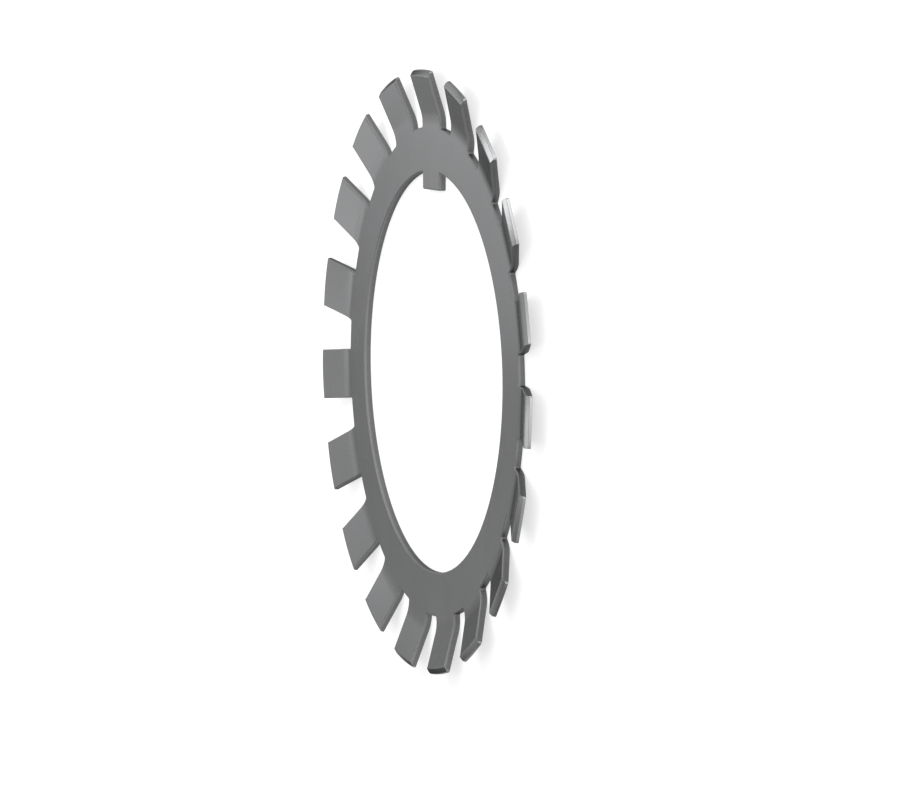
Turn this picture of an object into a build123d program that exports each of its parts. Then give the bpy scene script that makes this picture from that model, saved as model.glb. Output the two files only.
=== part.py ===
from build123d import *
import math
import os

# A tab lock washer for a shaft nut: one piece of sheet steel, stamped and bent, in millimetres.
# It lies flat. The back face is on Z = 0 and the outer tabs rise towards the nut side, +Z.
# The origin is on the axis of the bore. The inner tab is at +Y and points to the centre.

# The flat ring
bore_diameter = 100.0
ring_width = 11.0
sheet = 1.75

# The outer tabs: straight-sided, cut in the flat sheet and then bent up for the nut's slots
tab_count = 19
tab_width = 12.7
tab_length = 14.45
slot_corner_radius = 0.5
tip_corner_radius = 0.4
tip_land = 0.7
bend_radius = 11.4
bend_angle = 17.5

# The inner tab, which stays flat and sits in the keyway of the shaft
inner_tab_width = 12.0
inner_tab_reach = 4.7
inner_corner_radius = 0.5

# The break along every edge of the nut side; the edges of the back are left square
edge_break = 0.25

# What follows from the sizes above
bore_radius = bore_diameter / 2
slot_root_radius = bore_radius + ring_width
blank_radius = slot_root_radius + tab_length
bend_line_radius = slot_root_radius + slot_corner_radius
bend_arc_length = (bend_radius + sheet / 2) * math.radians(bend_angle)
straight_length = blank_radius - bend_line_radius - bend_arc_length
tip_bevel = sheet - tip_land
tab_angles = [90 + 360 * number / tab_count for number in range(tab_count)]
same_place = 1e-4


def distance_from_axis(shape):
    """How far the middle of an edge or a corner is from the bore axis."""
    middle = shape.center()
    return math.hypot(middle.X, middle.Y)


def outer_outline():
    """The ring's outside with the flat roots of the outer tabs, and its slot corners rounded."""
    root = Pos(bend_line_radius / 2, 0) * Rectangle(bend_line_radius, tab_width)
    outline = Circle(slot_root_radius) + [Rot(0, 0, angle) * root for angle in tab_angles]
    slot_corners = [
        corner for corner in outline.vertices() if abs(distance_from_axis(corner) - slot_root_radius) < same_place
    ]
    return fillet(slot_corners, slot_corner_radius)


def bore_outline():
    """The bore with the inner tab standing into it, and the tab's corners rounded."""
    tab = Pos(0, bore_radius) * Rectangle(inner_tab_width, 2 * inner_tab_reach)
    outline = Circle(bore_radius) - tab
    tab_corners = [
        corner for corner in outline.vertices() if abs(abs(corner.X) - inner_tab_width / 2) < same_place
    ]
    return fillet(tab_corners, inner_corner_radius)


def flat_part():
    """Everything that stays flat, with the nut-side edges broken up to where the tabs begin to bend."""
    plate = extrude(outer_outline() - bore_outline(), sheet)
    nut_side_edges = plate.faces().sort_by(Axis.Z)[-1].edges()
    bend_lines = nut_side_edges.filter_by(GeomType.LINE).filter_by(
        lambda edge: abs(distance_from_axis(edge) - bend_line_radius) < same_place
    )
    return chamfer([edge for edge in nut_side_edges if edge not in bend_lines], edge_break)


def tab_section():
    """A bent tab seen from its side, with X outwards and Y up: the bend, and then the straight run."""
    nut_side_bend = JernArc((bend_line_radius, sheet), (1, 0), bend_radius, bend_angle)
    nut_side_run = Line(nut_side_bend @ 1, nut_side_bend @ 1 + (nut_side_bend % 1) * straight_length)
    back_bend = JernArc((bend_line_radius, 0), (1, 0), bend_radius + sheet, bend_angle)
    back_run = Line(back_bend @ 1, back_bend @ 1 + (back_bend % 1) * straight_length)
    root_end = Line(nut_side_bend @ 0, back_bend @ 0)
    tip_end = Line(nut_side_run @ 1, back_run @ 1)
    return make_face([nut_side_bend, nut_side_run, tip_end, back_run, back_bend, root_end])


def tip_plane():
    """The plane of the nut-side face at the tip: X runs out along the tab, Z is square to the sheet."""
    angle = math.radians(bend_angle)
    out = bend_line_radius + bend_radius * math.sin(angle) + straight_length * math.cos(angle)
    up = sheet + bend_radius * (1 - math.cos(angle)) + straight_length * math.sin(angle)
    along_tab = (math.cos(angle), 0, math.sin(angle))
    square_to_sheet = (-math.sin(angle), 0, math.cos(angle))
    return Plane(origin=(out, 0, up), x_dir=along_tab, z_dir=square_to_sheet)


def outer_tab():
    """The bent stretch of one tab along +X: its end follows the round blank and is bevelled."""
    tip = tip_plane()
    strip = extrude(Plane.XZ * tab_section(), tab_width / 2, both=True)
    blank_disc = Pos(-blank_radius, 0, 0) * Cylinder(blank_radius, 2 * blank_radius)
    tab = strip & (tip * blank_disc)
    nut_side_end = tab.edges().filter_by(GeomType.CIRCLE).sort_by(Axis.Z)[-1]
    tab = chamfer(nut_side_end, tip_bevel)
    tip_corners = tab.edges().filter_by(Axis(tip.origin, tip.z_dir))
    tab = fillet(tip_corners, tip_corner_radius)
    bend_and_straight_run = tab.faces().sort_by(lambda face: face.normal_at().Z)[-2:]
    side_edges = [
        edge for edge in bend_and_straight_run.edges() if abs(abs(edge.center().Y) - tab_width / 2) < same_place
    ]
    return chamfer(side_edges, edge_break)


def lock_washer():
    """The whole stamping as one solid."""
    tab = outer_tab()
    return flat_part() + [Rot(0, 0, angle) * tab for angle in tab_angles]


os.makedirs("parts", exist_ok=True)
washer = lock_washer()
export_step(washer, "parts/lock_washer.step")
print("solids", len(washer.solids()), "volume", round(washer.volume, 1), "size", washer.bounding_box().size)
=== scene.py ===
# %% [markdown]
# # A tab lock washer in Blender
# The washer locks a shaft nut. It is one stamping of sheet steel: a flat ring, a crown of outer tabs bent
# up towards the nut, and one flat inner tab for the shaft's keyway. The CAD model fixes its place and its
# outside size. This script makes the surface that is seen, and lights it as in a plain studio.
#
# The first step loads the CAD model as a frame. Everything is in metres, with the axis of the bore on Z
# and the back face of the sheet on Z = 0.

# %% The frame
import math

import bpy
from mathutils import Matrix, Vector


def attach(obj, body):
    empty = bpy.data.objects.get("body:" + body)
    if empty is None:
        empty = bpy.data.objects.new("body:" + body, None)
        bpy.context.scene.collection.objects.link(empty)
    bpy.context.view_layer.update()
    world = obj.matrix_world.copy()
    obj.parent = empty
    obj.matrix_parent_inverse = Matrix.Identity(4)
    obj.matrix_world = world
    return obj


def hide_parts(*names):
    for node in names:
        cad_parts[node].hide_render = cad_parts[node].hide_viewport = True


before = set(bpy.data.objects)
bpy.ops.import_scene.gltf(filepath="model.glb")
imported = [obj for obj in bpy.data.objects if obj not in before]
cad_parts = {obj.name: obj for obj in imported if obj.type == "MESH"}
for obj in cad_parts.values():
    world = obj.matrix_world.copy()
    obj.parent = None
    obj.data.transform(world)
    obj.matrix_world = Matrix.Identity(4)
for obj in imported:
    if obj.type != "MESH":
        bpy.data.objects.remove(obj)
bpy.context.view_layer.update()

mm = 0.001


# %% [markdown]
# ## Nodes written as arithmetic
# A shape that follows a rule and a finish that varies over a surface are both made of nodes, and both need
# a lot of arithmetic. Hundreds of Math nodes wired by hand are hard to read, so a small class wraps an
# output socket and takes Python's own operators: `1 - mask` adds a Subtract node and hands back its
# output. Every other node comes from one function, `add_node`. It takes the node's type, its settings and
# what goes into its sockets.


# %% A socket that knows arithmetic
class Wire:
    """An output socket of a node tree. Arithmetic on it adds Math nodes to that tree."""

    def __init__(self, socket):
        self.socket = socket
        self.tree = socket.id_data

    def math(self, operation, *others):
        """A Math node that takes this wire first."""
        return add_node(self.tree, "ShaderNodeMath", {"operation": operation}, self, *others)

    def math_after(self, operation, first):
        """A Math node that takes this wire second."""
        return add_node(self.tree, "ShaderNodeMath", {"operation": operation}, first, self)

    def output(self, name):
        """Another output of the same node."""
        return Wire(self.socket.node.outputs[name])

    def __add__(self, other):
        return self.math("ADD", other)

    def __radd__(self, other):
        return self.math("ADD", other)

    def __sub__(self, other):
        return self.math("SUBTRACT", other)

    def __rsub__(self, other):
        return self.math_after("SUBTRACT", other)

    def __mul__(self, other):
        return self.math("MULTIPLY", other)

    def __rmul__(self, other):
        return self.math("MULTIPLY", other)

    def __truediv__(self, other):
        return self.math("DIVIDE", other)

    def __rtruediv__(self, other):
        return self.math_after("DIVIDE", other)

    def __gt__(self, other):
        return self.math("GREATER_THAN", other)

    def __lt__(self, other):
        return self.math("LESS_THAN", other)

    def at_least(self, number):
        """1 where a whole number is that number or more, and 0 where it is less."""
        return self > number - 0.5

    def at_most(self, number):
        """1 where a whole number is that number or less, and 0 where it is more."""
        return self < number + 0.5

    def between(self, low, high):
        """The value, held between low and high."""
        return add_node(self.tree, "ShaderNodeClamp", {}, self, low, high)

    def share(self, start, end):
        """How far the value has come from start to end, from 0 to 1."""
        return ((self - start) / (end - start)).between(0.0, 1.0)

    def towards(self, other, share):
        """The value, moved that share of the way to another one."""
        return self + (other - self) * share


def plug(value, socket):
    """Links a wire to an input socket, or writes a plain value into it."""
    if isinstance(value, Wire):
        socket.id_data.links.new(value.socket, socket)
    elif value is not None:
        socket.default_value = value


def add_node(tree, kind, settings=None, *values, **named):
    """Adds a node, sets it up, fills its sockets in order or by name, and returns its first output."""
    node = tree.nodes.new(kind)
    for setting, value in (settings or {}).items():
        setattr(node, setting, value)
    sockets = [socket for socket in node.inputs if socket.enabled]
    for socket, value in zip(sockets, values):
        plug(value, socket)
    for name, value in named.items():
        wanted = name.replace("_", " ").lower()
        plug(value, next(socket for socket in sockets if socket.name.lower() == wanted))
    shown = [socket for socket in node.outputs if socket.enabled]
    return Wire(shown[0]) if shown else None


def root_of(wire):
    """The square root."""
    return wire.math("SQRT")


def joined(tree, *pieces):
    """Several geometries as one. They all go into one socket, the last one first."""
    join = add_node(tree, "GeometryNodeJoinGeometry")
    for piece in reversed(pieces):
        plug(piece, join.socket.node.inputs[0])
    return join


trial = bpy.data.node_groups.new("trial", "ShaderNodeTree")
flipped = 1 - add_node(trial, "ShaderNodeTexNoise")
print("1 - mask ends in", flipped.socket.node.bl_idname, "set to", flipped.socket.node.operation)
bpy.data.node_groups.remove(trial)

# %% [markdown]
# ## The washer's sizes
# These are the sizes of the real part. They become named inputs of the node trees, so each can be changed
# there and the whole washer follows. The edges on the nut side are rolled over a little, as the punch
# leaves them, and the edges of the back are crisp, with only the burr taken off.

# %% Sizes
SIZES = {
    "Bore Radius": 50.0 * mm,
    "Ring Width": 11.0 * mm,
    "Sheet": 1.75 * mm,
    "Tab Width": 12.7 * mm,
    "Tab Length": 14.45 * mm,
    "Slot Corner Radius": 0.5 * mm,
    "Tip Corner Radius": 0.4 * mm,
    "Tip Land": 0.7 * mm,
    "Bend Radius": 11.4 * mm,
    "Inner Tab Width": 12.0 * mm,
    "Inner Tab Reach": 4.7 * mm,
    "Inner Corner Radius": 0.5 * mm,
    "Edge Roll": 0.33 * mm,
    "Tip Roll": 0.04 * mm,
    "Back Edge Break": 0.05 * mm,
}
BEND_ANGLE = math.radians(17.5)
TAB_COUNT = 19
FIRST_TAB_TURN = math.radians(90)

# %% [markdown]
# ## One sector of the blank, as a numbered grid
# All 19 tabs are alike, so one sector is enough: a tab, its stretch of the ring and half a slot on each
# side. It could be drawn as an outline and filled, but then a fan of thin triangles would cross the bend.
# A grid has neat rows there. It starts as a flat grid whose points only carry a row and a column number.
# A rule then sends each point to its place on the blank, and the faces that would lie in a slot are left
# out.
#
# Rows run outwards: from the end of the inner tab, to the bore at row 0, the slot root, the bend and the
# tip. Columns run across: 0 is the middle of the tab, 6 its side and 11 the middle of the slot. The last
# two steps to a tab's side keep within a narrow margin, and the rows about the bevel's crease lie close
# together, so that the crease can be blended.

# %% Rows and columns
ROW_INNER_END = -7
ROW_INNER_CORNER = -5
ROW_INNER_FILLET_END = -2
ROW_BORE = 0
ROW_SLOT_ROOT = 3
ROW_FILLET_END = 5
ROW_BEND_START = 6
ROW_BEND_END = 14
ROW_BEFORE_BEVEL = 17
ROW_CREASE = 19
ROW_IN_BEVEL = 20
ROW_TIP_CORNER = 21
ROW_TIP = 23
COLUMN_MIDDLE = 0
COLUMN_CORNER = 4
COLUMN_SIDE = 6
COLUMN_FILLET_END = 8
COLUMN_CUT = 11
SIDE_MARGIN = 0.45 * mm
BEVEL_BLEND = 0.12 * mm
print("rows", ROW_TIP - ROW_INNER_END + 1, "columns", 2 * COLUMN_CUT + 1, "in a sector")

# %% [markdown]
# ## The rule that places a point on the blank
# The rule works on half a sector and mirrors it. It knows four outlines: the bore, the slot root, the
# sides of a tab and its round end, with their small corner radii. It also takes an inset, which moves
# every outline into the metal by that much. Asked for a few insets in turn, it gives the nested outlines
# from which the rolled edges are built later.
#
# A fillet beside a tab is an arc of four steps, shared out between two columns and two rows. A convex
# corner is rounded by squeezing a square block of the grid into a quarter of a disc.


# %% The rule, part one: fillets and corners
def turned(x, y, angle):
    """A point turned about the axis of the bore."""
    cosine, sine = angle.math("COSINE"), angle.math("SINE")
    return x * cosine - y * sine, x * sine + y * cosine


def wall_beside_tab(size, column, along_side, centre_radius, half_width, fillet, inset, first, last):
    """The fillet beside a tab and the round wall that runs on from it to the end of the sector.

    The fillet's arc goes from the first angle, measured from the spoke through its centre, to the last
    one, measured from the middle of the tab.
    """
    along_fillet = (along_side + 1 - column.share(COLUMN_SIDE, COLUMN_FILLET_END)) / 2
    centre_y = half_width + fillet
    centre_x = root_of(centre_radius * centre_radius - centre_y * centre_y)
    spoke = centre_y.math("ARCTAN2", centre_x)
    angle = (spoke + first).towards(last, along_fillet)
    arc_x = centre_x + (fillet + inset) * angle.math("COSINE")
    arc_y = centre_y + (fillet + inset) * angle.math("SINE")
    wall_turn = (math.pi / size["Tab Count"] - spoke) * column.share(COLUMN_FILLET_END, COLUMN_CUT)
    return turned(arc_x, arc_y, wall_turn)


def squeezed(along, across):
    """A block of the grid, from (0, 0) to (1, 1), squeezed into a quarter disc."""
    return along * root_of(1 - across * across / 2), across * root_of(1 - along * along / 2)


def tab_corner(column, into_corner, at_end, half_width, corner, inset):
    """How far along the rounded corner of a tab's end a point is, and how far from the tab's middle."""
    along, across = squeezed(into_corner, column.share(COLUMN_CORNER, COLUMN_SIDE))
    margin = SIDE_MARGIN + at_end * (corner - SIDE_MARGIN)
    even = (half_width - inset - margin) * column.share(COLUMN_MIDDLE, COLUMN_CORNER)
    return along, even + margin * across


print("steps in a fillet:", ROW_FILLET_END - ROW_SLOT_ROOT + COLUMN_FILLET_END - COLUMN_SIDE)


# %% The rule, part two: outwards from the slot root
def outer_place(size, row, column, inset):
    """Where a point of the slot root or of an outer tab lies on the blank."""
    slot_root = size["Bore Radius"] + size["Ring Width"]
    blank_radius = slot_root + size["Tab Length"]
    half_width = size["Tab Width"] / 2
    fillet = size["Slot Corner Radius"]
    corner = size["Tip Corner Radius"] - inset

    along_side = row.share(ROW_SLOT_ROOT, ROW_FILLET_END)
    root_x, root_y = wall_beside_tab(
        size, column, along_side, slot_root + fillet, half_width, fillet, inset, math.pi, 1.5 * math.pi
    )
    into_corner, at_end = row.share(ROW_TIP_CORNER, ROW_TIP), row.at_least(ROW_TIP_CORNER)
    along, y = tab_corner(column, into_corner, at_end, half_width, corner, inset)

    bevel_width = size["Sheet"] - size["Tip Land"]
    rows_of_blend = (row - ROW_BEFORE_BEVEL).between(0.0, ROW_IN_BEVEL - ROW_BEFORE_BEVEL)
    from_rim = bevel_width + (ROW_CREASE - ROW_BEFORE_BEVEL) * BEVEL_BLEND - BEVEL_BLEND * rows_of_blend
    to_corner = bevel_width - BEVEL_BLEND - size["Tip Corner Radius"]
    from_rim = from_rim - to_corner * row.share(ROW_IN_BEVEL, ROW_TIP_CORNER) - corner * along
    rim_radius = blank_radius - from_rim
    rim_x = root_of(rim_radius * rim_radius - y * y)
    bend_length = (size["Bend Radius"] + size["Sheet"] / 2) * size["Bend Angle"]
    bend_x = slot_root + fillet + bend_length * row.share(ROW_BEND_START, ROW_BEND_END)
    tab_x = bend_x.towards(rim_x, row.share(ROW_BEND_END, ROW_BEFORE_BEVEL))

    on_tab = row.at_least(ROW_BEND_START)
    on_side = column.at_least(COLUMN_SIDE) * (1 - on_tab)
    return root_x.towards(tab_x, on_tab), y.towards(root_y, on_side)


print("rows from the slot root to the tip:", ROW_TIP - ROW_SLOT_ROOT)


# %% The rule, part three: inwards from the bore
def inner_place(size, row, column, inset):
    """Where a point of the bore or of the inner tab lies, in the sector that has the inner tab."""
    bore = size["Bore Radius"]
    half_width = size["Inner Tab Width"] / 2
    fillet = size["Inner Corner Radius"]
    corner = fillet - inset

    along_side = row.share(ROW_BORE, ROW_INNER_FILLET_END)
    bore_x, bore_y = wall_beside_tab(
        size, column, along_side, bore - fillet, half_width, fillet, inset, 0.0, -0.5 * math.pi
    )
    into_corner, at_end = row.share(ROW_INNER_CORNER, ROW_INNER_END), row.at_most(ROW_INNER_CORNER)
    along, y = tab_corner(column, into_corner, at_end, half_width, corner, inset)
    end_x = bore - size["Inner Tab Reach"] + fillet
    x = bore_x.towards(end_x, row.share(ROW_INNER_FILLET_END, ROW_INNER_CORNER)) - corner * along
    on_side = column.at_least(COLUMN_SIDE) * row.at_least(ROW_INNER_FILLET_END)
    return x, y.towards(bore_y, on_side)


print("rows from the bore to the end of the inner tab:", ROW_BORE - ROW_INNER_END)


# %% The rule as a node group
def add_inputs(tree, *names):
    """Gives a tree a plain number as an input for each name, and then the washer's sizes."""
    for name in names:
        tree.interface.new_socket(name, in_out="INPUT", socket_type="NodeSocketFloat")
    for name, value in SIZES.items():
        socket = tree.interface.new_socket(name, in_out="INPUT", socket_type="NodeSocketFloat")
        socket.subtype, socket.default_value = "DISTANCE", value
    socket = tree.interface.new_socket("Bend Angle", in_out="INPUT", socket_type="NodeSocketFloat")
    socket.subtype, socket.default_value = "ANGLE", BEND_ANGLE
    socket = tree.interface.new_socket("Tab Count", in_out="INPUT", socket_type="NodeSocketInt")
    socket.default_value = TAB_COUNT


def inputs_of(tree):
    """A tree's own inputs as wires, by name."""
    first = add_node(tree, "NodeGroupInput")
    sockets = [item for item in tree.interface.items_tree if item.in_out == "INPUT"]
    return {socket.name: first.output(socket.name) for socket in sockets}


def sizes_for_group(size):
    """A tree's own sizes, by name, for a group that it uses."""
    return {name: size[name] for name in (*SIZES, "Bend Angle", "Tab Count")}


def plan_group():
    """A node group: row, column and inset in, and the place on the flat blank out."""
    tree = bpy.data.node_groups.new("Place On The Blank", "GeometryNodeTree")
    add_inputs(tree, "Row", "Column", "Inset", "With Inner Tab")
    for name in ("X", "Y"):
        tree.interface.new_socket(name, in_out="OUTPUT", socket_type="NodeSocketFloat")
    size = inputs_of(tree)
    row, inset = size["Row"], size["Inset"]
    column = size["Column"].math("ABSOLUTE")
    mirror = size["Column"].math("SIGN")

    outer_x, outer_y = outer_place(size, row, column, inset)
    inner_x, inner_y = inner_place(size, row, column, inset)
    spoke = outer_y.math("ARCTAN2", outer_x)
    plain_radius = size["Bore Radius"] + inset
    bore_x = (plain_radius * spoke.math("COSINE")).towards(inner_x, size["With Inner Tab"])
    bore_y = (plain_radius * spoke.math("SINE")).towards(inner_y, size["With Inner Tab"])
    outwards = row.share(ROW_BORE, ROW_SLOT_ROOT)
    x, y = bore_x.towards(outer_x, outwards), bore_y.towards(outer_y, outwards) * mirror
    add_node(tree, "NodeGroupOutput", {}, x, y)
    return tree


blank_plan = plan_group()
print("nodes in the rule for the blank:", len(blank_plan.nodes))

# %% [markdown]
# ## Thickness, rolled edges and the bend
# The nut side comes first, inset by a little more than the edge's roll, so that the wide faces stay truly
# flat and only a thin strip beside the edge takes part in the rounding. Then the open edges are extruded
# again and again, and each new loop is sent to the next, smaller inset and a little lower, along a quarter
# circle. The last steps go straight down the cut wall and round the back edge. The same grid, flipped,
# closes the back.
#
# The real blank is bent in a press after it is cut, and so is this one: every point keeps its height in
# the sheet and is wrapped round the bend, with the middle of the sheet keeping its length. A number on
# each face says what kind it is, from the nut side to the back, and each point remembers its height in the
# sheet.

# %% The levels of an edge
# The nut side's inset as a share of the roll, the steps in which an edge rolls over, and the kinds of face.
FLAT_STRIP = 1.33
ROLL_STEPS = 4
NUT_SIDE, ROLL, CUT_WALL, BACK_BREAK, BACK = range(5)


def edge_levels():
    """Each level's kind of face, inset and drop as shares of the edge, and whether it is at the back."""
    levels = [(NUT_SIDE, 1.0, 0.0, False)]
    for step in range(1, ROLL_STEPS + 1):
        angle = math.radians(90) * step / ROLL_STEPS
        levels.append((ROLL, 1 - math.sin(angle), 1 - math.cos(angle), False))
    return levels + [(CUT_WALL, 0.0, 1.0, True), (BACK_BREAK, 1.0, 0.0, True)]


def number_on(tree, name):
    """A number stored on the mesh, as a wire."""
    return add_node(tree, "GeometryNodeInputNamedAttribute", {"data_type": "FLOAT"}, name)


def store(tree, geometry, name, value, domain="POINT", selection=None):
    """Stores a number on points or faces."""
    settings = {"data_type": "FLOAT", "domain": domain}
    return add_node(tree, "GeometryNodeStoreNamedAttribute", settings, geometry, selection, name, value)


def move_to(tree, geometry, selection, x, y, z):
    """Moves the selected points."""
    place = add_node(tree, "ShaderNodeCombineXYZ", {}, x, y, z)
    return add_node(tree, "GeometryNodeSetPosition", {}, geometry, selection, place)


def position_parts(tree):
    """The x, y and z of each point."""
    parts = add_node(tree, "ShaderNodeSeparateXYZ", {}, add_node(tree, "GeometryNodeInputPosition"))
    return parts, parts.output("Y"), parts.output("Z")


print("levels:", len(edge_levels()))


# %% One level of the blank, and the bend
def nut_side_height(size, x, y):
    """The height of the nut side: the sheet's thickness, less the bevel, which begins in a soft curve."""
    blank_radius = size["Bore Radius"] + size["Ring Width"] + size["Tab Length"]
    past_start = root_of(x * x + y * y) - blank_radius + size["Sheet"] - size["Tip Land"] + BEVEL_BLEND
    blend = past_start.between(0.0, 2 * BEVEL_BLEND)
    bevel = blend * blend / (4 * BEVEL_BLEND) + (past_start - 2 * BEVEL_BLEND).math("MAXIMUM", 0.0)
    return size["Sheet"] - bevel


def place_level(tree, size, geometry, selection, inset_share, drop_share, at_back):
    """Sends the selected points to one of the nested outlines, at its height."""
    row, column = number_on(tree, "row"), number_on(tree, "column")
    if at_back:
        edge = size["Back Edge Break"]
    else:
        edge = size["Edge Roll"].towards(size["Tip Roll"], row.share(ROW_BEFORE_BEVEL, ROW_CREASE))
    x = add_node(
        tree, "GeometryNodeGroup", {"node_tree": blank_plan}, Row=row, Column=column,
        Inset=edge * inset_share, With_Inner_Tab=size["With Inner Tab"], **sizes_for_group(size)
    )
    y = x.output("Y")
    height = edge * drop_share if at_back else nut_side_height(size, x, y) - edge * drop_share
    return move_to(tree, geometry, selection, x, y, height)


def bend_tab(tree, size, geometry):
    """Wraps everything past the bend line round the bend, the middle of the sheet keeping its length."""
    x, y, z = position_parts(tree)
    line = size["Bore Radius"] + size["Ring Width"] + size["Slot Corner Radius"]
    middle_radius = size["Bend Radius"] + size["Sheet"] / 2
    past_line = (x - line).math("MAXIMUM", 0.0)
    turn = (past_line / middle_radius).math("MINIMUM", size["Bend Angle"])
    straight = past_line - turn * middle_radius
    own_radius = size["Sheet"] + size["Bend Radius"] - z
    sine, cosine = turn.math("SINE"), turn.math("COSINE")
    bent_x = x - past_line + own_radius * sine + straight * cosine
    bent_z = z + own_radius * (1 - cosine) + straight * sine
    return move_to(tree, geometry, None, bent_x, y, bent_z)


bend_length = (SIZES["Bend Radius"] + SIZES["Sheet"] / 2) * BEND_ANGLE
print("the bend takes this much of a tab's length, in mm:", round(bend_length / mm, 2))


# %% One sector as a node group
def numbered_sheet(tree, size):
    """The flat grid with its numbers, without the faces that would lie in a slot or in the open bore."""
    last_row, last_column = ROW_TIP - ROW_INNER_END, 2 * COLUMN_CUT
    grid = add_node(tree, "GeometryNodeMeshGrid", {}, last_row, last_column, last_row + 1, last_column + 1)
    across_grid, along_grid, _ = position_parts(tree)
    numbered = store(tree, grid, "row", across_grid + (last_row / 2 + ROW_INNER_END))
    numbered = store(tree, numbered, "column", along_grid)
    row, column = number_on(tree, "row"), number_on(tree, "column").math("ABSOLUTE")
    beside_tab = column > COLUMN_SIDE
    in_slot = (row > ROW_SLOT_ROOT) * beside_tab
    in_bore = (row < ROW_BORE) * (beside_tab + 1 - size["With Inner Tab"])
    left_out = in_slot + in_bore > 0.5
    return add_node(tree, "GeometryNodeDeleteGeometry", {"domain": "FACE"}, numbered, left_out)


def sector_group():
    """A node group: sizes in, and one open sector of the bent washer out."""
    tree = bpy.data.node_groups.new("One Sector", "GeometryNodeTree")
    add_inputs(tree, "With Inner Tab")
    tree.interface.new_socket("Geometry", in_out="OUTPUT", socket_type="NodeSocketGeometry")
    size = inputs_of(tree)
    sheet = numbered_sheet(tree, size)

    shell = place_level(tree, size, sheet, None, FLAT_STRIP, 0.0, False)
    shell = store(tree, shell, "surface", NUT_SIDE, "FACE")
    faces_beside = add_node(tree, "GeometryNodeInputMeshEdgeNeighbors")
    open_edge = faces_beside.at_most(1) * (number_on(tree, "column").math("ABSOLUTE") < COLUMN_CUT)
    for kind, inset_share, drop_share, at_back in edge_levels():
        shell = add_node(tree, "GeometryNodeExtrudeMesh", {"mode": "EDGES"}, shell, open_edge, None, 0.0)
        open_edge = shell.output("Top")
        shell = store(tree, shell, "surface", kind, "FACE", shell.output("Side"))
        shell = place_level(tree, size, shell, open_edge, inset_share, drop_share, at_back)

    back = place_level(tree, size, sheet, None, 1.0, 0.0, True)
    back = add_node(tree, "GeometryNodeFlipFaces", {}, store(tree, back, "surface", BACK, "FACE"))
    sector = joined(tree, shell, back)
    sector = store(tree, sector, "height_in_sheet", position_parts(tree)[2] / size["Sheet"])
    sector = store(tree, sector, "tab_end", number_on(tree, "row") > ROW_TIP_CORNER, "FACE")
    add_node(tree, "NodeGroupOutput", {}, bend_tab(tree, size, sector))
    return tree


one_sector = sector_group()
print("nodes in a sector:", len(one_sector.nodes))

# %% [markdown]
# ## The whole washer
# Nineteen points lie on the bore's axis, each with its own turn. A sector goes on every one of them, and
# the first has the inner tab. The sectors meet edge to edge, so once they are real geometry, merging the
# points that lie on each other makes one closed skin. Edges that are sharper than a set angle are marked
# sharp, and the rest is shaded smooth.

# %% The washer's node tree
SHARP_ANGLE = math.radians(35)
MERGE_DISTANCE = 0.002 * mm


def washer_tree():
    """The tree that the modifier runs: all sectors in place, joined into one skin."""
    tree = bpy.data.node_groups.new("Tab Lock Washer", "GeometryNodeTree")
    add_inputs(tree)
    tree.interface.new_socket("Finish", in_out="INPUT", socket_type="NodeSocketMaterial")
    tree.interface.new_socket("Geometry", in_out="OUTPUT", socket_type="NodeSocketGeometry")
    size = inputs_of(tree)

    points = add_node(tree, "GeometryNodePoints", {}, size["Tab Count"])
    number = add_node(tree, "GeometryNodeInputIndex")
    turn = FIRST_TAB_TURN + number * (2 * math.pi) / size["Tab Count"]
    turns = add_node(tree, "ShaderNodeCombineXYZ", {}, 0.0, 0.0, turn)
    crown = []
    for with_inner_tab, chosen in ((1.0, number.at_most(0)), (0.0, number.at_least(1))):
        sector = add_node(
            tree, "GeometryNodeGroup", {"node_tree": one_sector}, With_Inner_Tab=with_inner_tab,
            **sizes_for_group(size)
        )
        crown.append(
            add_node(tree, "GeometryNodeInstanceOnPoints", {}, points, chosen, sector, Rotation=turns)
        )
    skin = add_node(tree, "GeometryNodeRealizeInstances", {}, joined(tree, *crown))
    skin = add_node(tree, "GeometryNodeMergeByDistance", {}, skin, Distance=MERGE_DISTANCE)
    skin = add_node(tree, "GeometryNodeSetShadeSmooth", {"domain": "FACE"}, skin, Shade_Smooth=True)
    sharp = add_node(tree, "GeometryNodeInputMeshEdgeAngle") > SHARP_ANGLE
    skin = add_node(tree, "GeometryNodeSetShadeSmooth", {"domain": "EDGE"}, skin, sharp, False)
    for name in ("row", "column"):
        skin = add_node(tree, "GeometryNodeRemoveAttribute", {}, skin, Name=name)
    skin = add_node(tree, "GeometryNodeSetMaterial", {}, skin, Material=size["Finish"])
    add_node(tree, "NodeGroupOutput", {}, skin)
    return tree


washer_nodes = washer_tree()
print("nodes in the washer:", len(washer_nodes.nodes))


# %% The mesh
def add_object(name, data):
    """A new object in the scene, for a mesh, a camera or a lamp."""
    made = bpy.data.objects.new(name, data)
    bpy.context.scene.collection.objects.link(made)
    return made


def run_tree(tree, name, **inputs):
    """Runs a node tree on an empty mesh and returns the result as a plain object."""
    maker = add_object("maker", bpy.data.meshes.new("maker"))
    modifier = maker.modifiers.new("Nodes", "NODES")
    modifier.node_group = tree
    for item in tree.interface.items_tree:
        if item.in_out == "INPUT" and item.name in inputs:
            modifier[item.identifier] = inputs[item.name]
    evaluated = maker.evaluated_get(bpy.context.evaluated_depsgraph_get())
    mesh = bpy.data.meshes.new_from_object(evaluated)
    bpy.data.objects.remove(maker)
    for slot in reversed(range(len(mesh.materials))):
        if mesh.materials[slot] is None:
            mesh.materials.pop(index=slot)
    mesh.name = name
    return add_object(name, mesh)


steel = bpy.data.materials.new("stamped_steel")
washer = run_tree(washer_nodes, "stamped_washer", Finish=steel)
print("washer:", len(washer.data.vertices), "points,", len(washer.data.polygons), "faces")


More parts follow.
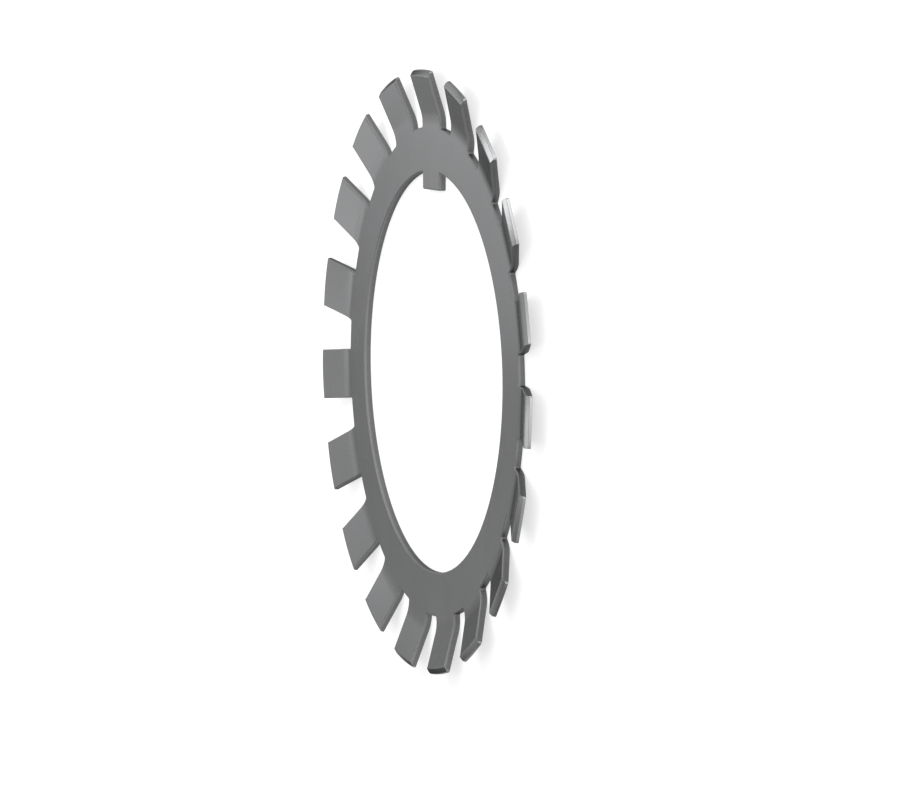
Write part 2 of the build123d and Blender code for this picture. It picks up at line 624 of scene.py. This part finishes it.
# %% Is the skin closed, and does it face outwards?
def measure(mesh):
    """How many edges lack their two faces, and the volume, which is positive if faces point outwards."""
    uses = [0] * len(mesh.edges)
    volume = 0.0
    mesh.calc_loop_triangles()
    for polygon in mesh.polygons:
        for loop in polygon.loop_indices:
            uses[mesh.loops[loop].edge_index] += 1
    for triangle in mesh.loop_triangles:
        a, b, c = (mesh.vertices[index].co for index in triangle.vertices)
        volume += a.dot(b.cross(c)) / 6
    return sum(count != 2 for count in uses), volume / mm**3


open_edges, volume = measure(washer.data)
print("edges without two faces:", open_edges, "volume in mm3:", round(volume, 1))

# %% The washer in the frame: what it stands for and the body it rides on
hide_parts("lock_washer")
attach(washer, "root")
print(washer.name, "stands for the CAD model's lock_washer")

# %% [markdown]
# ## The finish: stamped steel
# The washer is bare cold-rolled strip, left as it comes from the press and tumbled to take off the burrs.
# That gives a satin grey that mirrors only large, soft shapes. The colour is nearly even, so the life is
# in the roughness: a fine grain that the rolling mill draws one way across the whole sheet, a soft mottle
# from tumbling, faint patches from handling, and a few hair-fine scratches. All of it comes from noise on
# Object coordinates, stretched one way or another, so it runs straight through from the ring into the
# tabs, as it did in the strip.
#
# A punched wall has two bands. Near the nut side the punch burnished it, and the rest broke away and is
# dull and darker, with short streaks in the punch's direction. That darker colour is partly the
# fracture's own and partly painted shade on the walls. The burnished band carries a little of that painted
# shade too, and the rolled edges are rougher and carry painted shade that dims their highlights.
# Only the bevelled ends of the outer tabs are clean all over. Three numbers stored on the mesh say where:
# the kind of face, the height in the sheet and whether a face is at a tab's end.

# %% Values for the finish
STEEL_GREY = (0.27, 0.2725, 0.276)
STEEL_RIM = (0.4, 0.4, 0.4, 1.0)
DARKEST_SHADE, LIGHTEST_SHADE = 0.93, 1.07
# How dark the cut walls are painted: partly the fracture's own colour, partly painted shade.
FRACTURE_AND_PAINTED_SHADE = 0.5
STEEL_ROUGHNESS = 0.25
ROUGHNESS_LIMITS = (0.12, 0.7)
RELIEF_STRENGTH = 0.12
RELIEF_HEIGHT = 0.05 * mm

# Each noise has its number of blotches to a metre along X, Y and Z, and the detail within a blotch.
NOISES = {
    "grain": ((2200.0, 60.0, 300.0), 3.0),
    "mottle": ((260.0, 260.0, 260.0), 4.0),
    "handling": ((38.0, 30.0, 38.0), 2.0),
    "scratches": ((1900.0, 45.0, 0.0), 1.0),
    "band edge": ((900.0, 900.0, 0.0), 2.0),
    "streaks": ((2600.0, 2600.0, 60.0), 2.0),
}
# The scratches run three ways, at these angles in radians, and fade in on the crests of their noise.
SCRATCH_DIRECTIONS = (0.5, -1.1, 1.9)
SCRATCH_CRESTS = (0.70, 0.78)
# The burnished band begins between these two heights, as shares of the sheet, at an edge as ragged as
# this, and it is cleaner than the fracture by the last share; the rest of the painted shade stays on it.
BAND_EDGE = (0.52, 0.74)
BAND_RAGGEDNESS = 0.14
BURNISH = 0.65

# How much each feature adds to the shade, the dullness with its painted shade, the roughness and the
# relief.
IN_SHADE = {"grain": 0.30, "mottle": 0.35, "handling": 0.40, "scratches": 0.12}
# The roll's share paints the rolled edges darker, as painted shade that dims their highlights.
IN_DULLNESS_AND_PAINTED_SHADE = {"fracture_and_wall_shade": 0.70, "streaked fracture": 0.40, "roll": 0.25}
IN_ROUGHNESS = {
    "grain": 0.07, "mottle": 0.06, "handling": 0.05, "scratches": 0.03, "roll": 0.42, "fracture_and_wall_shade": 0.16
}
IN_RELIEF = {"grain": 0.50, "mottle": 0.35, "scratches": -0.12, "streaked wall": 1.0}
print("noises in the steel:", list(NOISES))


# %% What varies over the steel
def noise(place, name):
    """One of the noises, from 0 to 1, at a place in metres."""
    blotches, detail = NOISES[name]
    stretched = add_node(place.tree, "ShaderNodeVectorMath", {"operation": "MULTIPLY"}, place, blotches)
    return add_node(place.tree, "ShaderNodeTexNoise", {}, stretched, Scale=1.0, Detail=detail)


def scratches(place):
    """Hair-fine scratches: the crests of a noise that is stretched very long, in a few directions."""
    marks = 0.0
    for direction in SCRATCH_DIRECTIONS:
        turned_place = add_node(
            place.tree, "ShaderNodeVectorRotate", {"rotation_type": "Z_AXIS"}, place, Angle=direction
        )
        marks = noise(turned_place, "scratches").share(*SCRATCH_CRESTS).math("MAXIMUM", marks)
    return marks


def from_mesh(tree, name):
    """A number that the washer's node tree stored on the mesh."""
    return add_node(tree, "ShaderNodeAttribute", {"attribute_name": name}).output("Fac")


def steel_features(tree):
    """What varies over the steel, by name. Grain, mottle and handling swing about zero."""
    place = add_node(tree, "ShaderNodeTexCoord").output("Object")
    kind, height = from_mesh(tree, "surface"), from_mesh(tree, "height_in_sheet")
    wall = kind.at_least(CUT_WALL) * kind.at_most(BACK_BREAK)
    ragged_height = height - BAND_RAGGEDNESS * noise(place, "band edge")
    # Painted shade on the cut walls, with the fracture's own dull colour: full on the broken band, less on
    # the burnished one.
    fracture_and_wall_shade = wall * (1 - from_mesh(tree, "tab_end")) * (1 - BURNISH * ragged_height.share(*BAND_EDGE))
    streaks = noise(place, "streaks")
    return {
        "grain": noise(place, "grain") - 0.5,
        "mottle": noise(place, "mottle") - 0.5,
        "handling": noise(place, "handling") - 0.5,
        "scratches": scratches(place),
        "roll": kind.at_least(ROLL) * kind.at_most(ROLL),
        "fracture_and_wall_shade": fracture_and_wall_shade,
        "streaked fracture": fracture_and_wall_shade * streaks,
        "streaked wall": wall * streaks,
    }


# %% The steel
def added_up(features, weights):
    """The named features, each times its weight, added up."""
    return sum(weight * features[name] for name, weight in weights.items())


def shade(colour, factor):
    """A plain colour made lighter or darker, and opaque."""
    return (*(channel * factor for channel in colour), 1.0)


def colour_mix(tree, first, second, share):
    """Two colours, mixed."""
    settings = {"data_type": "RGBA", "clamp_factor": True}
    return add_node(tree, "ShaderNodeMix", settings, share, first, second)


def steel_finish(material):
    """Satin steel with its grain, mottle and scratches, and the two bands of a punched wall."""
    material.use_nodes = True
    tree = material.node_tree
    shader = tree.nodes["Principled BSDF"]
    shader.inputs["Metallic"].default_value = 1.0
    shader.inputs["Specular Tint"].default_value = STEEL_RIM
    features = steel_features(tree)

    shading = 0.5 + added_up(features, IN_SHADE)
    colour = colour_mix(tree, shade(STEEL_GREY, DARKEST_SHADE), shade(STEEL_GREY, LIGHTEST_SHADE), shading)
    # Here the cut walls and rolled edges are painted darker: painted shade, and on the walls also the
    # fracture's own colour.
    dullness_and_painted_shade = added_up(features, IN_DULLNESS_AND_PAINTED_SHADE)
    colour = colour_mix(tree, colour, shade(STEEL_GREY, FRACTURE_AND_PAINTED_SHADE), dullness_and_painted_shade)
    plug(colour, shader.inputs["Base Color"])

    roughness = STEEL_ROUGHNESS + added_up(features, IN_ROUGHNESS)
    plug(roughness.between(*ROUGHNESS_LIMITS), shader.inputs["Roughness"])

    relief = added_up(features, IN_RELIEF)
    bump = add_node(
        tree, "ShaderNodeBump", {}, Strength=RELIEF_STRENGTH, Distance=RELIEF_HEIGHT, Height=relief
    )
    plug(bump, shader.inputs["Normal"])
    print("nodes in the steel:", len(tree.nodes))


steel_finish(steel)

# %% [markdown]
# ## The camera
# The photo was taken from far off with a long lens, so the washer is hardly foreshortened. It shows the
# washer nearly edge on, with the inner tab at the top. Here the washer lies down, so the camera lies on
# its side with it: up in the picture is +Y, towards the inner tab.

# %% The camera
# The turn is away from the bore's axis, towards +X, and the rise is towards +Y. The lens is in mm, for a
# sensor 36 mm wide, and the clip distances are in metres. The camera aims at a point that is a little right
# of the origin and below it.
CAMERA_TURN = math.radians(69.788)
CAMERA_RISE = math.radians(4.993)
CAMERA_ROLL = math.radians(0.026)
CAMERA_DISTANCE = 1354.493 * mm
CAMERA_LENS = 217.7
CAMERA_CLIP = (0.01, 100.0)
AIM_RIGHT, AIM_UP = 3.132 * mm, -7.036 * mm

to_camera = Vector((
    math.sin(CAMERA_TURN) * math.cos(CAMERA_RISE),
    math.sin(CAMERA_RISE),
    math.cos(CAMERA_TURN) * math.cos(CAMERA_RISE),
))
level_right = (-to_camera).cross(Vector((0, 1, 0))).normalized()
level_up = level_right.cross(-to_camera)
image_right = level_right * math.cos(CAMERA_ROLL) + level_up * math.sin(CAMERA_ROLL)
image_up = level_up * math.cos(CAMERA_ROLL) - level_right * math.sin(CAMERA_ROLL)

camera_data = bpy.data.cameras.new("camera")
camera_data.lens = CAMERA_LENS
camera_data.clip_start, camera_data.clip_end = CAMERA_CLIP
camera = add_object("camera", camera_data)
camera.matrix_world = Matrix.Translation(
    to_camera * CAMERA_DISTANCE + image_right * AIM_RIGHT + image_up * AIM_UP
) @ Matrix((image_right, image_up, to_camera)).transposed().to_4x4()
bpy.context.scene.camera = camera
print("camera at", [round(c, 3) for c in camera.location], "m, degrees above the floor:",
      round(math.degrees(math.asin(to_camera.z)), 1))

# %% [markdown]
# ## The floor
# The floor is a plain white sheet, and the washer lies on it as it would on a table. Its own colour
# carries about half of its brightness, so a pale, soft shadow stays beside and under the tabs. Some glow,
# for the rays that come from the camera, lifts it the rest of the way to the white of the photo.
# Reflections get that glow too, so the cut walls mirror the same floor that the camera sees.

# %% The floor
WHITE = (1.0, 1.0, 1.0, 1.0)
FLOOR_COLOUR = (0.5, 0.5, 0.5, 1.0)
FLOOR_GLOW = 0.6
FLOOR_SIZE = 12.0


def floor_finish():
    """Matt white, with some glow for the camera and for reflections."""
    material = bpy.data.materials.new("floor_white")
    material.use_nodes = True
    tree = material.node_tree
    shader = tree.nodes["Principled BSDF"]
    shader.inputs["Base Color"].default_value = FLOOR_COLOUR
    shader.inputs["Roughness"].default_value = 1.0
    shader.inputs["Specular IOR Level"].default_value = 0.0
    shader.inputs["Emission Color"].default_value = WHITE
    ray = add_node(tree, "ShaderNodeLightPath")
    looking = (ray + ray.output("Is Glossy Ray") + ray.output("Is Transmission Ray")).between(0.0, 1.0)
    plug(looking * FLOOR_GLOW, shader.inputs["Emission Strength"])
    return material


half = FLOOR_SIZE / 2
corners = [(-half, -half, 0), (half, -half, 0), (half, half, 0), (-half, half, 0)]
floor_mesh = bpy.data.meshes.new("floor")
floor_mesh.from_pydata(corners, [], [(0, 1, 2, 3)])
floor_mesh.materials.append(floor_finish())
floor = add_object("floor", floor_mesh)
print("floor:", FLOOR_SIZE, "m wide, at the height of the washer's back face")

# %% [markdown]
# ## The light
# Bare metal shows what stands around it, so the light is built for its reflections. Around the washer is a
# dim, even room. Four large soft lights are painted on it, each a smooth bump of brightness about one
# direction: one overhead and three low down, on the keyway's side, the camera's side and the side across
# from the keyway. They light the floor and the cut walls, and the washer isn't dark from any side.
#
# Six round soft lamps hang close to the washer, most of them behind it. Each is where one set of faces
# mirrors it towards the camera: the flat ring and its stretch beside the keyway, the tabs on the far side,
# the tabs beside the keyway and their bevelled ends, and the bevelled ends on the near side. Because they
# are so near, no two tabs see quite the same light, and the ring shades from light to dark.

# %% The room
# Each soft light has its turn and rise in degrees, and its strength.
SOFT_LIGHTS = {
    "overhead": (0, 90, 1.1),
    "keyway side": (75, 15, 3.5),
    "camera side": (3, 15, 2.6),
    "far from the keyway": (310, 20, 0.9),
}
ROOM_LEVEL = 0.17
SOFTNESS = 8.0


def aim(turn, rise):
    """A direction from its turn about the bore's axis and its rise above the floor, in degrees."""
    turn, rise = math.radians(turn), math.radians(rise)
    return Vector((math.cos(turn) * math.cos(rise), math.sin(turn) * math.cos(rise), math.sin(rise)))


def light_room():
    """The world: an even level, and a soft bump of light for each direction in the list."""
    world = bpy.data.worlds.new("studio")
    world.use_nodes = True
    tree = world.node_tree
    direction = add_node(tree, "ShaderNodeTexCoord").output("Generated")
    level = ROOM_LEVEL
    for turn, rise, strength in SOFT_LIGHTS.values():
        alignment = add_node(
            tree, "ShaderNodeVectorMath", {"operation": "DOT_PRODUCT"}, direction, tuple(aim(turn, rise))
        )
        level = level + strength * alignment.math("MAXIMUM", 0.0).math("POWER", SOFTNESS)
    background = tree.nodes["Background"]
    background.inputs["Color"].default_value = WHITE
    plug(level, background.inputs["Strength"])
    bpy.context.scene.world = world


light_room()
print("soft lights on the room:", list(SOFT_LIGHTS))

# %% The lamps close to the washer
# Each has its turn and rise in degrees, its distance and width in metres, and its brightness.
LAMPS = {
    "lamp_for_ring": (185, 27, 0.60, 0.50, 0.65),
    "lamp_for_ring_top": (173, 28, 0.33, 0.12, 0.55),
    "lamp_for_far_tabs": (211, 38, 0.60, 0.36, 0.58),
    "lamp_for_keyway_tabs": (157, 28, 0.45, 0.24, 1.2),
    "lamp_for_keyway_bevels": (122, 53, 0.28, 0.12, 3.3),
    "lamp_for_near_bevel": (270, 78, 0.28, 0.07, 2.0),
}


def hang_lamp(name, turn, rise, distance, width, brightness):
    """A round soft lamp that faces the washer. Its power is its brightness times its area, times pi."""
    lamp_data = bpy.data.lights.new(name, "AREA")
    lamp_data.shape = "DISK"
    lamp_data.size = width
    lamp_data.energy = brightness * math.pi * (math.pi * width**2 / 4)
    lamp = add_object(name, lamp_data)
    lamp.location = aim(turn, rise) * distance
    lamp.rotation_euler = (-lamp.location).to_track_quat("-Z", "Y").to_euler()
    lamp.visible_camera = False
    print(name, "at", [round(c, 3) for c in lamp.location], "m, power in W:", round(lamp_data.energy, 4))


for lamp_name, setting in LAMPS.items():
    hang_lamp(lamp_name, *setting)

# %% [markdown]
# ## The view transform
# The picture's colours go through the Standard view transform.

# %% The Standard view
bpy.context.scene.view_settings.view_transform = "Standard"
